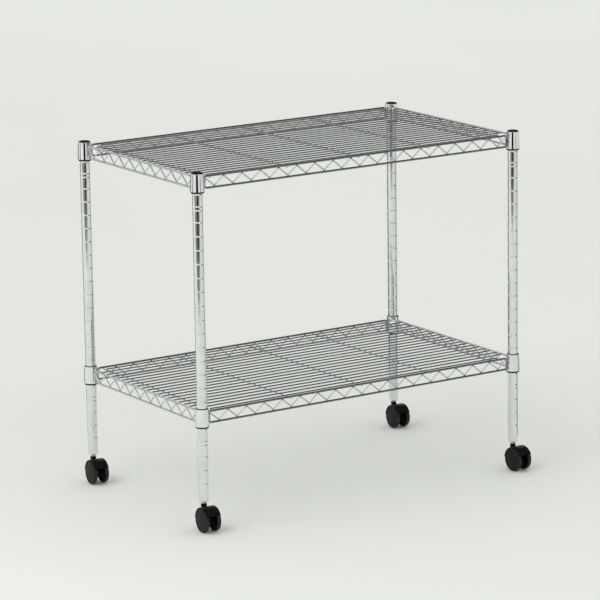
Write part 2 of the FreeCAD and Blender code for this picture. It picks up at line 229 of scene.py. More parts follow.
def piece(name, form, material, body, replaces=(), crease=32.0):
    """A Blender object from a form, riding on a body."""
    mesh = bpy.data.meshes.new(name)
    mesh.from_pydata([p * MM for p in form.points], [], form.faces)
    wear_and_shade = mesh.attributes.new("wear_and_shade", "FLOAT", "POINT")
    wear_and_shade.data.foreach_set("value", form.wear_and_shade)
    work = bmesh.new()
    work.from_mesh(mesh)
    bmesh.ops.remove_doubles(work, verts=work.verts, dist=2e-7)
    bmesh.ops.recalc_face_normals(work, faces=work.faces)
    work.to_mesh(mesh)
    work.free()
    mesh.shade_smooth()
    mesh.set_sharp_from_angle(angle=math.radians(crease))
    mesh.materials.append(material)
    made = bpy.data.objects.new(name, mesh)
    bpy.context.scene.collection.objects.link(made)
    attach(made, body)
    if replaces:
        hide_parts(*replaces)
    return made


def rounded(corners, steps=5):
    """A closed outline of (u, v, radius) corners, each rounded by an arc of its radius."""
    out = []
    count = len(corners)
    for i, (u, v, radius) in enumerate(corners):
        here = Vector((u, v))
        if radius <= 0:
            out.append(here)
            continue
        before = Vector(corners[i - 1][:2])
        after = Vector(corners[(i + 1) % count][:2])
        out.extend(fillet(before, here, after, radius, steps))
    return out


def fillet(before, corner, after, radius, steps):
    """Points of the arc that rounds one corner of a path, in the plane or in space."""
    towards = (before - corner).normalized()
    away = (after - corner).normalized()
    half = towards.angle(away) / 2
    reach = radius / math.tan(half)
    centre = corner + (towards + away).normalized() * (radius / math.sin(half))
    first = corner + towards * reach - centre
    last = corner + away * reach - centre
    sweep = first.angle(last)
    points = []
    for k in range(steps + 1):
        t = sweep * k / steps
        share = first * math.sin(sweep - t) + last * math.sin(t)
        points.append(centre + share / math.sin(sweep))
    return points


def bent(points, radius, steps=6):
    """A path in space through the points, with its inner corners rounded."""
    out = [points[0]]
    for before, corner, after in zip(points, points[1:], points[2:]):
        out.extend(fillet(before, corner, after, radius, steps))
    out.append(points[-1])
    return out


def supported(path, closed):
    """The path with a point close to both ends of its long runs, so smooth shading stays flat there."""
    out = []
    count = len(path)
    for i, here in enumerate(path):
        out.append(here)
        if i == count - 1 and not closed:
            break
        run = path[(i + 1) % count] - here
        if run.length > 3 * SUPPORT:
            step = run.normalized() * SUPPORT
            out.append(here + step)
            out.append(here + run - step)
    return out


def about_z(radius, height, angle):
    return Vector((radius * math.cos(angle), radius * math.sin(angle), height))


def about_axle(radius, height, angle):
    """A point at a radius from the axle. Angle 0 is forward and 90 degrees is up."""
    return Vector((height, -AXLE_TRAIL - radius * math.cos(angle),
                   WHEEL_RADIUS + radius * math.sin(angle)))


def turned(profile, place=about_z, segments=64, ring=True, wear_and_shade=None):
    """A shell of revolution. ring is False for a profile that starts and ends on the axis."""
    points = []
    values = []
    profile = supported(profile, ring)
    for k in range(segments):
        angle = 2 * math.pi * k / segments
        for r, h in profile:
            points.append(place(r, h, angle))
            values.append(wear_and_shade(r, h) if wear_and_shade else 0.0)
    rows = len(profile)
    faces = []
    for k in range(segments):
        here = k * rows
        there = (k + 1) % segments * rows
        for i in range(rows if ring else rows - 1):
            j = (i + 1) % rows
            faces.append([here + i, here + j, there + j, there + i])
    return points, faces, values


def loft(sections):
    """A closed shell through sections that all have the same number of points."""
    count = len(sections[0])
    points = [p for section in sections for p in section]
    faces = []
    for s in range(len(sections) - 1):
        for i in range(count):
            j = (i + 1) % count
            faces.append([s * count + i, s * count + j, (s + 1) * count + j, (s + 1) * count + i])
    faces.append(list(range(count)))
    faces.append([len(points) - count + i for i in range(count)][::-1])
    return points, faces


def bar(path, radius, sides=16, loop=False, dome=0.4):
    """Round wire along a path. Its open ends are ground to a shallow dome."""
    path = supported(path, loop)
    count = len(path)
    rings = []
    normal = None
    for i, here in enumerate(path):
        before = path[i - 1] if loop or i > 0 else here
        after = path[(i + 1) % count] if loop or i < count - 1 else here
        tangent = (after - before).normalized()
        if normal is None:
            normal = tangent.orthogonal()
        normal = (normal - tangent * normal.dot(tangent)).normalized()
        rings.append((here, tangent, normal, radius))
    if not loop:
        rings = end_rings(rings[0], -1, radius, dome)[::-1] + rings + end_rings(rings[-1], 1, radius, dome)
    points = []
    for centre, tangent, normal, r in rings:
        side = tangent.cross(normal)
        for k in range(sides):
            a = 2 * math.pi * k / sides
            points.append(centre + (normal * math.cos(a) + side * math.sin(a)) * r)
    faces = []
    for s in range(len(rings) if loop else len(rings) - 1):
        there = (s + 1) % len(rings)
        for k in range(sides):
            m = (k + 1) % sides
            faces.append([s * sides + k, s * sides + m, there * sides + m, there * sides + k])
    if not loop:
        faces.append(list(range(sides))[::-1])
        faces.append([len(points) - sides + k for k in range(sides)])
    return points, faces


def end_rings(ring, way, radius, dome):
    """Rings that close a wire's end. The dome lies inside the wire's stated length."""
    centre, tangent, normal, r = ring
    out = []
    for degrees in (30, 60, 80):
        a = math.radians(degrees)
        out.append((centre + tangent * (way * dome * radius * math.sin(a)), tangent, normal,
                    radius * math.cos(a)))
    return out


def nugget(centre, size, rings=5, sides=10):
    """A weld nugget: a small flattened ball where two wires were pressed together."""
    profile = []
    for k in range(rings + 1):
        a = math.pi * (k / rings - 0.5)
        profile.append(Vector((math.cos(a), math.sin(a))))
    points, faces, values = turned(profile, segments=sides, ring=False)
    return [centre + Vector((p.x * size[0], p.y * size[1], p.z * size[2])) for p in points], faces


# ---- materials --------------------------------------------------------------------------

class Surface:
    """A procedural material around one Principled shader, in object coordinates."""

    def __init__(self, name, colour, metallic, roughness):
        self.material = bpy.data.materials.new(name)
        self.material.use_nodes = True
        self.nodes = self.material.node_tree.nodes
        self.links = self.material.node_tree.links
        self.shader = self.nodes["Principled BSDF"]
        self.shader.inputs["Base Color"].default_value = (*colour, 1)
        self.shader.inputs["Metallic"].default_value = metallic
        self.shader.inputs["Roughness"].default_value = roughness
        self.place = self.nodes.new("ShaderNodeTexCoord").outputs["Object"]
        self.height = None

    def noise(self, scale, detail=3.0, stretch=(1, 1, 1)):
        """Noise with features of about 1 / scale metres, drawn out along an axis by stretch."""
        mapping = self.nodes.new("ShaderNodeMapping")
        mapping.inputs["Scale"].default_value = stretch
        texture = self.nodes.new("ShaderNodeTexNoise")
        texture.inputs["Scale"].default_value = scale
        texture.inputs["Detail"].default_value = detail
        self.links.new(self.place, mapping.inputs["Vector"])
        self.links.new(mapping.outputs["Vector"], texture.inputs["Vector"])
        return texture.outputs["Fac"]

    def spread(self, value, low, high, to_low, to_high):
        """Maps a value from one range to another, without going past the new one."""
        node = self.nodes.new("ShaderNodeMapRange")
        for name, number in (("From Min", low), ("From Max", high), ("To Min", to_low), ("To Max", to_high)):
            node.inputs[name].default_value = number
        self.links.new(value, node.inputs["Value"])
        return node.outputs["Result"]

    def attribute(self, name):
        node = self.nodes.new("ShaderNodeAttribute")
        node.attribute_name = name
        return node.outputs["Fac"]

    def blend(self, share, first, second):
        """A colour between two, each a colour or an output."""
        node = self.nodes.new("ShaderNodeMix")
        node.data_type = "RGBA"
        for socket, colour in ((node.inputs[6], first), (node.inputs[7], second)):
            if isinstance(colour, tuple):
                socket.default_value = (*colour, 1)
            else:
                self.links.new(colour, socket)
        self.links.new(share, node.inputs[0])
        return node.outputs[2]

    def times(self, a, b):
        node = self.nodes.new("ShaderNodeMath")
        node.operation = "MULTIPLY"
        self.links.new(a, node.inputs[0])
        self.links.new(b, node.inputs[1])
        return node.outputs[0]

    def colour(self, output):
        self.links.new(output, self.shader.inputs["Base Color"])

    def roughness(self, output):
        self.links.new(output, self.shader.inputs["Roughness"])

    def bump(self, value, depth, strength=1.0):
        """Raises the surface by a value times a depth in metres, on top of any earlier bump."""
        node = self.nodes.new("ShaderNodeBump")
        node.inputs["Distance"].default_value = depth
        node.inputs["Strength"].default_value = strength
        self.links.new(value, node.inputs["Height"])
        if self.height is not None:
            self.links.new(self.height, node.inputs["Normal"])
        self.height = node.outputs["Normal"]
        self.links.new(self.height, self.shader.inputs["Normal"])


def chrome(name, tint, smooth, drawn):
    """Chrome plate: a cloudy haze, fine marks along the drawing direction, and darker by a value per point:
    weld burn at the welds, painted shade on the rails and the collars' lower lips.
    """
    surface = Surface(name, tint, 1.0, smooth)
    haze = surface.noise(60, 4.0)
    marks = surface.noise(900, 2.0, drawn)
    shade = surface.spread(haze, 0.35, 0.7, 0.0, 1.0)
    dull = tuple(c * 0.90 for c in tint)
    weld_burn_and_painted_shade = surface.attribute("wear_and_shade")
    surface.colour(surface.blend(weld_burn_and_painted_shade, surface.blend(shade, tint, dull), (0.09, 0.09, 0.10)))
    surface.roughness(surface.spread(marks, 0.3, 0.75, smooth * 0.7, smooth * 1.6))
    surface.bump(marks, 0.000004, 0.5)
    return surface.material


def zinc(name):
    surface = Surface(name, (0.58, 0.60, 0.62), 1.0, 0.34)
    cloud = surface.noise(350, 5.0)
    shade = surface.spread(cloud, 0.35, 0.65, 0, 1)
    surface.colour(surface.blend(shade, (0.62, 0.63, 0.64), (0.48, 0.51, 0.55)))
    surface.roughness(surface.spread(cloud, 0.3, 0.7, 0.26, 0.44))
    surface.bump(surface.noise(2500, 2.0, (1, 1, 6)), 0.00002, 0.5)
    return surface.material


def plastic(name, colour, rough, grain, dusty, shine=0.16):
    """Moulded black plastic: spark-eroded grain, a faint cloud and pale dust where it is worn."""
    surface = Surface(name, colour, 0.0, rough)
    surface.shader.inputs["Specular IOR Level"].default_value = shine
    cloud = surface.noise(120, 4.0)
    lifted = tuple(c * 1.3 + 0.0005 for c in colour)
    base = surface.blend(surface.spread(cloud, 0.35, 0.7, 0.0, 1.0), colour, lifted)
    patches = surface.spread(surface.noise(420, 4.0), 0.35, 0.62, 0.2, 1.0)
    worn = surface.times(surface.attribute("wear_and_shade"), patches)
    surface.colour(surface.blend(worn, base, dusty))
    surface.roughness(surface.spread(surface.noise(700, 3.0), 0.3, 0.7, rough * 0.85, rough * 1.25))
    surface.bump(surface.noise(grain, 2.0), 0.00005, 0.5)
    return surface.material


CHROME_TUBE = chrome("polished_tube_chrome", (0.80, 0.81, 0.81), 0.07, (1, 1, 0.04))
CHROME_COLLAR = chrome("formed_collar_chrome", (0.82, 0.83, 0.83), 0.06, (1, 1, 0.3))
CHROME_TRUSS = chrome("plated_truss_chrome", (0.74, 0.75, 0.75), 0.08, (0.5, 0.5, 0.5))
# The deck wires' chrome is painted darker and the cross wires' chrome lighter than the same plate elsewhere:
# painted shade and painted light for what they reflect.
DECK_CHROME_PAINTED_DARK = chrome("plated_deck_chrome_painted_dark", (0.36, 0.37, 0.385), 0.08, (0.5, 0.5, 0.5))
CROSS_CHROME_PAINTED_LIGHT = chrome("plated_cross_chrome_painted_light", (0.86, 0.89, 0.91), 0.08, (0.5, 0.5, 0.5))
ZINC = zinc("zinc_plate")
AXLE_STEEL = zinc("drawn_axle_steel")
BLACK = plastic("satin_black_plastic", (0.005, 0.005, 0.0055), 0.55, 3000, (0.012, 0.012, 0.012), 0.02)
HOOD_BLACK = plastic("caster_hood_nylon", (0.003, 0.0035, 0.0035), 0.36, 2600, (0.03, 0.03, 0.03), 0.11)
WHEEL_BLACK = plastic("caster_wheel_nylon", (0.005, 0.0055, 0.0055), 0.40, 2200, (0.04, 0.04, 0.038), 0.13)


# ---- posts, plugs, sleeves and collars --------------------------------------------------

def groove_heights():
    """Centre height of every groove of a post. The lowest one lies in the tapered foot."""
    for n in range(1, GROOVE_COUNT):
        z = POST_BOTTOM + FIRST_GROOVE + GROOVE_PITCH * n
        if n in MARKER_GROOVES:
            yield z - MARKER_HALF_GAP
            yield z + MARKER_HALF_GAP
        else:
            yield z


def post_tube():
    """Rolled grooves with soft lips on a drawn tube, whose foot is swaged in."""
    bore = POST_RADIUS - POST_WALL
    outline = rounded([
        (bore, POST_BOTTOM, 0.3),
        (POST_FOOT_RADIUS, POST_BOTTOM, 0.7),
        (POST_RADIUS, POST_BOTTOM + POST_FOOT_TAPER, 6.0),
        (POST_RADIUS, POST_BOTTOM + POST_FOOT_TAPER + 2, 0),
    ])
    for centre in groove_heights():
        for k in range(-4, 5):
            share = k / 4
            dip = GROOVE_DEPTH * math.cos(share * math.pi / 2) ** 2
            outline.append(Vector((POST_RADIUS - dip, centre + share * GROOVE_HALF_WIDTH)))
    outline.append(Vector((POST_RADIUS, POST_TOP - 0.2)))
    outline.append(Vector((POST_RADIUS - 0.2, POST_TOP)))
    outline.append(Vector((bore, POST_TOP)))
    return turned(outline, segments=72)


def post_plug():
    """Pressed-in plug: a softly domed head with a fine ring step and a small gate mark."""
    plug = POST_RADIUS - POST_WALL - 0.05
    top = POST_TOP + CAP_THICKNESS
    foot = POST_TOP - CAP_PLUG
    corners = [
        (0, foot, 0),
        (plug - 0.6, foot, 0.4),
        (plug, foot + 1.2, 0.6),
        (plug, POST_TOP, 0),
        (CAP_RADIUS, POST_TOP, 0.25),
        (CAP_RADIUS, top - 0.25, 1.2),
        (7.4, top - 0.05, 1.5),
        (7.1, top - 0.25, 0.15),
        (6.8, top - 0.05, 0.15),
        (1.6, top, 1.0),
        (1.4, top - 0.2, 0.1),
        (0, top - 0.2, 0),
    ]
    return turned(rounded(corners), segments=64, ring=False)


def sleeve_radius(z):
    return SLEEVE_BOTTOM_RADIUS + (SLEEVE_TOP_RADIUS - SLEEVE_BOTTOM_RADIUS) * z / SLEEVE_HEIGHT


def sleeve_half(side):
    """Half of a split sleeve. Its two ends lie in planes parallel to the XZ plane."""
    outline = rounded([
        (SLEEVE_BORE, 0, 0.3),
        (SLEEVE_BOTTOM_RADIUS, 0, 0.55),
        (sleeve_radius(COLLAR_LOW), COLLAR_LOW, 0),
        (sleeve_radius(COLLAR_HIGH), COLLAR_HIGH, 0),
        (SLEEVE_TOP_RADIUS, SLEEVE_HEIGHT, 0.3),
        (SLEEVE_BORE, SLEEVE_HEIGHT, 0.2),
    ], 4)
    sections = []
    steps = 30
    for k in range(steps + 1):
        section = []
        for r, h in outline:
            edge = math.asin(SLEEVE_SPLIT / 2 / r)
            angle = edge + (math.pi - 2 * edge) * k / steps
            section.append(about_z(r, h, side * angle))
        sections.append(section)
    return loft(sections)


def collar_ring():
    """Formed tapered collar with soft lips, seated on its sleeve."""
    outline = rounded([
        (sleeve_radius(COLLAR_LOW) + CONE_GAP, COLLAR_LOW, 0.2),
        (COLLAR_BOTTOM_RADIUS, COLLAR_LOW, 0.55),
        (COLLAR_TOP_RADIUS, COLLAR_HIGH, 0.55),
        (sleeve_radius(COLLAR_HIGH) + CONE_GAP, COLLAR_HIGH, 0.2),
    ], 6)
    # The lower lip is painted darker: painted shade along the collar's lower edge.
    lip_top = COLLAR_LOW + COLLAR_LIP
    return turned(outline, segments=96, wear_and_shade=lambda r, h: COLLAR_LIP_PAINTED_SHADE if h < lip_top else 0.0)


def build_posts():
    caps = Form()
    for corner in CORNERS:
        axis = post_axis(corner)
        tube = Form()
        tube.add(*post_tube())
        piece("tube_" + corner, tube.moved(axis), CHROME_TUBE, "rack", ["post_" + corner])
        plug = Form()
        plug.add(*post_plug())
        caps.join(plug.moved(axis))
    piece("plugs_in_post_tops", caps, BLACK, "rack", ["post_caps"])


def build_corner_fittings(level):
    base = shelf_base(level)
    for corner in CORNERS:
        seat = post_axis(corner) + Vector((0, 0, base))
        sleeve = Form()
        for side in (-1, 1):
            sleeve.add(*sleeve_half(side))
        piece(level + "_split_sleeve_" + corner, sleeve.moved(seat), BLACK, "rack",
              [level + "_sleeve_" + corner])
        ring = Form()
        ring.add(*collar_ring())
        piece(level + "_cone_collar_" + corner, ring.moved(seat), CHROME_COLLAR, "rack",
              [level + "_collar_" + corner])


# ---- shelf wires ------------------------------------------------------------------------

def collar_radius(z):
    share = (z - COLLAR_LOW) / (COLLAR_HIGH - COLLAR_LOW)
    return COLLAR_BOTTOM_RADIUS + (COLLAR_TOP_RADIUS - COLLAR_BOTTOM_RADIUS) * share


def truss_loop(half_length):
    """Both rails of one side as a closed loop in the XZ plane."""
    corners = [
        (-half_length, BOTTOM_RAIL, LOOP_BEND),
        (half_length, BOTTOM_RAIL, LOOP_BEND),
        (half_length, TOP_RAIL, LOOP_BEND),
        (-half_length, TOP_RAIL, LOOP_BEND),
    ]
    path = [Vector((u, 0, v)) for u, v in rounded(corners, 8)]
    return bar(path, RAIL_RADIUS, 20, loop=True)


def zigzag_points(half_length, bends):
    """Corners of the zigzag before they are rounded, from one end of the side to the other."""
    low = BOTTOM_RAIL + RAIL_RADIUS + TRUSS_RADIUS
    high = TOP_RAIL - RAIL_RADIUS - TRUSS_RADIUS
    end = half_length - TRUSS_END
    step = end / bends
    # A rounded bend stays short of its corner by this much, so the corners stand out further.
    cut = TRUSS_BEND * (1 / math.cos(math.atan2(high - low, step)) - 1)
    points = []
    for n in range(2 * bends + 1):
        z = high + cut if n % 2 == 0 else low - cut
        points.append(Vector((-end + step * n, 0, z)))
    points[0].z = high
    points[-1].z = high
    return points


def truss(half_spacing, bends, rail_painted_shade):
    """Loop, zigzag and the weld at each crest and beside each collar, in the XZ plane."""
    half_length = half_spacing - LOOP_INSET
    form = Form()
    # The rails are painted darker by this value: painted shade.
    form.add(*truss_loop(half_length), rail_painted_shade)
    corners = zigzag_points(half_length, bends)
    form.add(*bar(bent(corners, TRUSS_BEND), TRUSS_RADIUS, 14))
    for n, corner in enumerate(corners):
        crest = n % 2 == 0
        z = TOP_RAIL - RAIL_RADIUS if crest else BOTTOM_RAIL + RAIL_RADIUS
        form.add(*nugget(Vector((corner.x, 0, z)), (2.3, 1.25, 0.7)), 1.0)
    for side in (-1, 1):
        for z in (BOTTOM_RAIL + LOOP_BEND, TOP_RAIL - LOOP_BEND):
            x = side * (half_spacing - (LOOP_INSET - RAIL_RADIUS + collar_radius(z)) / 2)
            form.add(*nugget(Vector((x, 0, z)), (0.9, 1.9, 4.2)))
    return form


def cross_wires():
    z = TOP_RAIL - RAIL_RADIUS - WIRE_RADIUS
    reach = HALF_Y + CROSS_OVERHANG
    form = Form()
    for x in CROSS_WIRES:
        ends = [Vector((x, side * (reach - 0.4 * WIRE_RADIUS), z)) for side in (-1, 1)]
        form.add(*bar(ends, WIRE_RADIUS))
        for side in (-1, 1):
            form.add(*nugget(Vector((x, side * HALF_Y, z + WIRE_RADIUS)), (1.5, 1.7, 0.7)))
    return form


def deck_lines():
    """Y and half-length of every deck wire. The outermost two end on the outermost cross wires."""
    first = HALF_Y - DECK_MARGIN
    pitch = 2 * first / (DECK_WIRES - 1)
    for n in range(DECK_WIRES):
        outermost = n in (0, DECK_WIRES - 1)
        reach = CROSS_WIRES[-1] + DECK_OVERHANG if outermost else HALF_X - RAIL_RADIUS
        yield first - pitch * n, reach, outermost


def deck_wires():
    z = TOP_RAIL - RAIL_RADIUS + WIRE_RADIUS
    form = Form()
    for y, reach, outermost in deck_lines():
        length = reach - 0.4 * WIRE_RADIUS if outermost else reach
        form.add(*bar([Vector((-length, y, z)), Vector((length, y, z))], WIRE_RADIUS))
    return form


def deck_welds():
    """Nuggets where deck wires cross the cross wires, and where they butt on the side rails."""
    form = Form()
    z = TOP_RAIL - RAIL_RADIUS
    for y, reach, outermost in deck_lines():
        for x in CROSS_WIRES:
            form.add(*nugget(Vector((x, y, z)), (1.45, 1.45, 0.75)))
        if not outermost:
            for side in (-1, 1):
                form.add(*nugget(Vector((side * (reach - 0.1), y, z + WIRE_RADIUS)), (0.9, 1.9, 1.6)))
    return form


def build_shelf_wires(level):
    middle = MIDDLE + Vector((0, 0, shelf_base(level)))
    long_side = truss(HALF_X, LONG_TRUSS_BENDS, LONG_RAIL_PAINTED_SHADE)
    short_side = truss(HALF_Y, SHORT_TRUSS_BENDS, SHORT_RAIL_PAINTED_SHADE)
    sides = (
        ("front", long_side, Vector((0, -HALF_Y, 0)), 0),
        ("back", long_side, Vector((0, HALF_Y, 0)), 0),
        ("left", short_side, Vector((-HALF_X, 0, 0)), math.pi / 2),
        ("right", short_side, Vector((HALF_X, 0, 0)), math.pi / 2),
    )
    for side, form, offset, turn in sides:
        placed = form.moved(middle + offset, turn)
        piece(level + "_rails_" + side, placed, CHROME_TRUSS, "rack", [level + "_truss_" + side])
    piece(level + "_support_wires", cross_wires().moved(middle), CROSS_CHROME_PAINTED_LIGHT, "rack",
          [level + "_cross_wires"])
    piece(level + "_shelf_wires", deck_wires().moved(middle), DECK_CHROME_PAINTED_DARK, "rack",
          [level + "_deck_wires"])
    piece(level + "_shelf_welds", deck_welds().moved(middle), DECK_CHROME_PAINTED_DARK, "rack")


# ---- casters ----------------------------------------------------------------------------

def hood_canopy():
    """Arched cover with soft shoulders, a low crown and thinned lower edges."""
    sections = []
    steps = 60
    ends = ((0.0, 0.35), (0.25, 0.75), (0.8, 1.0))
    angles = [(HOOD_FRONT + turn, size) for turn, size in ends]
    angles += [(HOOD_FRONT + 2 + (HOOD_REAR - HOOD_FRONT - 4) * k / steps, 1.0) for k in range(steps + 1)]
    angles += [(HOOD_REAR - turn, size) for turn, size in reversed(ends)]
    for degrees, size in angles:
        middle = HOOD_RADIUS - HOOD_WALL / 2
        half = HOOD_WALL / 2 * size
        outline = rounded([
            (-HOOD_HALF_WIDTH, middle - half, 0.35 * size),
            (HOOD_HALF_WIDTH, middle - half, 0.35 * size),
            (HOOD_HALF_WIDTH, middle + half, 1.5 * size),
            (0, middle + half, 0),
            (-HOOD_HALF_WIDTH, middle + half, 1.5 * size),
        ])
        section = []
        for x, r in outline:
            crown = 0.45 * (x / HOOD_HALF_WIDTH) ** 2 if r > middle else 0
            section.append(about_axle(r - crown, x, math.radians(degrees)))
        sections.append(section)
    return loft(sections)


def hood_web():
    """The wall between the wheels, from the axle to the canopy, with soft edges."""
    sections = []
    for x, inset in ((-3.0, 0.5), (-2.85, 0.15), (-2.5, 0.0), (2.5, 0.0), (2.85, 0.15), (3.0, 0.5)):
        section = []
        for k in range(41):
            degrees = HOOD_FRONT + inset + (HOOD_REAR - HOOD_FRONT - 2 * inset) * k / 40
            section.append(about_axle(HOOD_RADIUS - HOOD_WALL * 0.6 - inset, x, math.radians(degrees)))
        section.append(about_axle(inset, x, math.radians((HOOD_FRONT + HOOD_REAR) / 2)))
        sections.append(section)
    return loft(sections)


def hood_boss():
    reach = WHEEL_INNER_FACE - 0.3
    outline = rounded([
        (AXLE_RADIUS + 0.02, -reach, 0.2),
        (BOSS_RADIUS, -reach, 0.5),
        (BOSS_RADIUS, reach, 0.5),
        (AXLE_RADIUS + 0.02, reach, 0.2),
    ])
    return turned(outline, about_axle, 48)


def hood_socket():
    """Neck that holds the stem, with a bead round its mouth."""
    bore = STEM_RADIUS + 0.06
    outline = rounded([
        (bore, STEM_FOOT - 0.5, 0),
        (bore, SOCKET_TOP, 0.35),
        (SOCKET_RADIUS, SOCKET_TOP, 0.5),
        (SOCKET_RADIUS, SOCKET_TOP - 2.4, 0.4),
        (SOCKET_RADIUS - 0.35, SOCKET_TOP - 2.8, 0.4),
        (SOCKET_RADIUS, SOCKET_BOTTOM + 10, 2),
        (SOCKET_RADIUS, SOCKET_BOTTOM, 0.6),
        (0, SOCKET_BOTTOM, 0),
        (0, STEM_FOOT - 0.5, 0),
    ])
    # The outline is turned as an open profile, from the bore's floor round to the foot.
    start = outline.index(min(outline, key=lambda p: (abs(p.x), -p.y)))
    ordered = outline[start:] + outline[:start]
    return turned(ordered, segments=56, ring=False)


def hood_ribs():
    """Two low ribs along the top of the hood, one each side of its middle."""
    form = Form()
    for x in (-9.2, 9.2):
        sections = []
        for k in range(41):
            degrees = HOOD_FRONT + 8 + (HOOD_REAR - HOOD_FRONT - 16) * k / 40
            rise = 0.28 * math.sin(math.pi * k / 40) ** 0.35 + 0.02
            section = []
            for m in range(7):
                a = math.pi * m / 6
                r = HOOD_RADIUS - 0.32 + rise * math.sin(a)
                section.append(about_axle(r, x + 0.8 * math.cos(a), math.radians(degrees)))
            section.append(about_axle(HOOD_RADIUS - 1.0, x - 0.8, math.radians(degrees)))
            section.append(about_axle(HOOD_RADIUS - 1.0, x + 0.8, math.radians(degrees)))
            sections.append(section)
        form.add(*loft(sections))
    return form


def caster_hood():
    form = Form()
    form.add(*hood_canopy())
    form.add(*hood_web())
    form.add(*hood_boss())
    form.add(*hood_socket())
    form.join(hood_ribs())
    return form


def tread_wear(r, h):
    """How worn the wheel is: fully on the tread, fading over its shoulders."""
    return max(0.0, min(1.0, (r - (WHEEL_RADIUS - 1.6)) / 1.4)) * 0.75


def caster_wheel(side):
    """Wheel with a raised face ring, a domed disc, a hub cap and a ribbed pocket inside."""
    inner = WHEEL_INNER_FACE
    outer = WHEEL_OUTER_FACE
    bore = AXLE_RADIUS + 0.06
    floor = outer - 2.2
    seam = (inner + INNER_TREAD_ROUND + outer - OUTER_TREAD_ROUND) / 2
    outline = rounded([
        (bore, inner, 0.2),
        (5.0, inner, 0.4),
        (5.2, floor, 0.8),
        (WHEEL_RADIUS - 3.4, floor, 1.0),
        (WHEEL_RADIUS - 3.2, inner, 0.4),
        (WHEEL_RADIUS, inner, INNER_TREAD_ROUND),
        (WHEEL_RADIUS, seam - 0.35, 0.1),
        (WHEEL_RADIUS - 0.12, seam, 0.1),
        (WHEEL_RADIUS, seam + 0.35, 0.1),
        (WHEEL_RADIUS, outer, OUTER_TREAD_ROUND),
        (18.6, outer + 0.1, 0.6),
        (18.1, outer - 0.5, 0.3),
        (12.0, outer + 0.05, 8.0),
        (5.9, outer + WHEEL_DOME - 0.15, 1.5),
        (5.6, outer + 0.2, 0.15),
        (5.1, outer + 0.2, 0.15),
        (4.8, outer + WHEEL_DOME - 0.12, 0.25),
        (1.2, outer + WHEEL_DOME, 1.0),
        (0, outer + WHEEL_DOME, 0),
        (0, AXLE_REACH + 0.4, 0),
        (bore, AXLE_REACH + 0.4, 0.1),
    ], 4)
    start = outline.index(next(p for p in outline if p.x == 0 and p.y < outer))
    ordered = outline[start:] + outline[:start]
    mirrored = [Vector((r, side * h)) for r, h in ordered]
    form = Form()
    form.add(*turned(mirrored, about_axle, 72, ring=False, wear_and_shade=tread_wear))
    for k in range(6):
        form.add(*pocket_rib(side, k * math.pi / 3))
    return form


def pocket_rib(side, angle):
    """A thin rib across the pocket on the inner side of a wheel."""
    half = 0.6
    low = WHEEL_INNER_FACE + 1.2
    high = WHEEL_OUTER_FACE - 2.0
    sections = []
    for r in (4.7, 19.0):
        spread = half / r
        section = []
        for x, turn in ((low, -1), (low, 1), (high, 1), (high, -1)):
            section.append(about_axle(r, side * x, angle + turn * spread))
        sections.append(section)
    return loft(sections)


def caster_stem():
    """Zinc stem: pin, flange with softened edges, and the shank in the insert."""
    outline = rounded([
        (0, STEM_FOOT, 0),
        (STEM_RADIUS, STEM_FOOT, 0.6),
        (STEM_RADIUS, STEM_FLANGE_BOTTOM, 0.1),
        (STEM_FLANGE_RADIUS, STEM_FLANGE_BOTTOM, 0.5),
        (STEM_FLANGE_RADIUS, POST_BOTTOM - 0.02, 0.4),
        (THREAD_RADIUS, POST_BOTTOM - 0.02, 0),
        (THREAD_RADIUS, STEM_TOP, 0.8),
        (0, STEM_TOP, 0),
    ])
    return turned(outline, segments=56, ring=False)


def build_casters():
    hood = caster_hood()
    wheels = {"a": caster_wheel(-1), "b": caster_wheel(1)}
    stem = Form()
    stem.add(*caster_stem())
    for corner in CORNERS:
        axis = post_axis(corner)
        turn = caster_turn(corner)
        piece("pintle_" + corner, stem.moved(axis, turn), ZINC, "rack",
              ["caster_stem_" + corner])
        piece("fork_hood_" + corner, hood.moved(axis, turn), HOOD_BLACK, "caster_" + corner,
              ["caster_hood_" + corner])
        for letter, form in wheels.items():
            piece("twin_wheel_" + letter + "_" + corner, form.moved(axis, turn), WHEEL_BLACK,
                  "wheel_" + letter + "_" + corner,
                  ["caster_wheel_" + letter + "_" + corner])


def finish_cad_nodes():
    """Materials for the hidden steel pieces that keep their CAD shape."""
    for name, node in frame["nodes"].items():
        if name == "stem_inserts" or name.startswith("caster_axle_"):
            node.data.materials.clear()
            node.data.materials.append(ZINC if name == "stem_inserts" else AXLE_STEEL)


# ---- studio -----------------------------------------------------------------------------

def staged(name, points, material):
    mesh = bpy.data.meshes.new(name)
    mesh.from_pydata(points, [], [list(range(len(points)))])
    mesh.materials.append(material)
    made = bpy.data.objects.new(name, mesh)
    bpy.context.scene.collection.objects.link(made)
    return made


